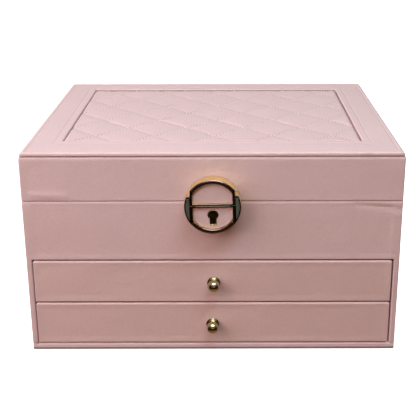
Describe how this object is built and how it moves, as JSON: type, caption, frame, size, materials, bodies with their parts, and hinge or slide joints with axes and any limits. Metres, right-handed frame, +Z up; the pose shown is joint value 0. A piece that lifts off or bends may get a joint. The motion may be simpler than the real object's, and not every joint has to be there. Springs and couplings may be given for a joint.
{
  "type": "jewellery chest with drawers",
  "caption": "Leatherette jewellery chest with a hinged mirror lid, a quilted top panel, a round key lock and two drawers with small round knobs.",
  "frame": {"origin": "under the middle of the chest on the surface it stands on, knobs and hinge knuckles counted", "axes": "+X to the right along the width, +Y to the back, +Z up"},
  "size_m": [0.2612, 0.2336, 0.149],
  "materials": {
    "leather": "pink grained leatherette",
    "top_leather": "pink grained leatherette, quilted on the panel",
    "inlay_leather": "pink fine grained leatherette",
    "velvet": "short velvet",
    "felt": "thin felt",
    "gold_metal": "polished light gold plating",
    "mirror": "silvered glass"
  },
  "bodies": {
    "case": {"back_wall": "leather", "base_felt": "felt", "bottom_board": "leather", "divider_cross": "velvet", "divider_left": "velvet", "divider_main": "velvet", "divider_right_back": "velvet", "divider_right_front": "velvet", "drawer_shelf": "leather", "front_frame": "leather", "hinge_lower_leaf_left": "gold_metal", "hinge_lower_leaf_right": "gold_metal", "hinge_pin_left": "gold_metal", "hinge_pin_right": "gold_metal", "lining_back": "velvet", "lining_front": "velvet", "lining_left": "velvet", "lining_right": "velvet", "lock_back_plate": "gold_metal", "lock_case": "gold_metal", "lock_inlay": "inlay_leather", "ring_roll_1": "velvet", "ring_roll_2": "velvet", "ring_roll_3": "velvet", "ring_roll_4": "velvet", "ring_roll_5": "velvet", "ring_roll_6": "velvet", "side_wall_left": "leather", "side_wall_right": "leather", "tray_floor": "velvet"},
    "lid": {"hasp_frame": "gold_metal", "hasp_inlay": "inlay_leather", "hasp_tongue": "gold_metal", "hinge_upper_leaf_left": "gold_metal", "hinge_upper_leaf_right": "gold_metal", "lid_ceiling": "velvet", "lid_lining": "velvet", "lid_top_board": "top_leather", "lid_wall_back": "leather", "lid_wall_front": "leather", "lid_wall_left": "leather", "lid_wall_right": "leather", "mirror_frame": "leather", "mirror_glass": "mirror", "quilted_panel": "top_leather"},
    "drawer_upper": {"drawer_upper_divider": "velvet", "drawer_upper_front": "leather", "drawer_upper_knob": "gold_metal", "drawer_upper_pad": "velvet", "drawer_upper_screw": "gold_metal", "drawer_upper_tray": "velvet"},
    "drawer_lower": {"drawer_lower_divider": "velvet", "drawer_lower_front": "leather", "drawer_lower_knob": "gold_metal", "drawer_lower_pad": "velvet", "drawer_lower_screw": "gold_metal", "drawer_lower_tray": "velvet"},
    "tumbler": {"lock_tumbler": "gold_metal"}
  },
  "joints": [
    {"name": "lid_hinge", "type": "hinge", "parent": "case", "child": "lid", "pos_m": [0, 0.1151, 0.1146], "axis": [-1, 0, 0], "range_deg": [0, 100]},
    {"name": "drawer_upper_slide", "type": "slide", "parent": "case", "child": "drawer_upper", "axis": [0, -1, 0], "range_m": [0, 0.15]},
    {"name": "drawer_lower_slide", "type": "slide", "parent": "case", "child": "drawer_lower", "axis": [0, -1, 0], "range_m": [0, 0.15]},
    {"name": "lock_turn", "type": "hinge", "parent": "case", "child": "tumbler", "pos_m": [0.00047, -0.1111, 0.1077], "axis": [0, 1, 0], "range_deg": [0, 90]}
  ]
}
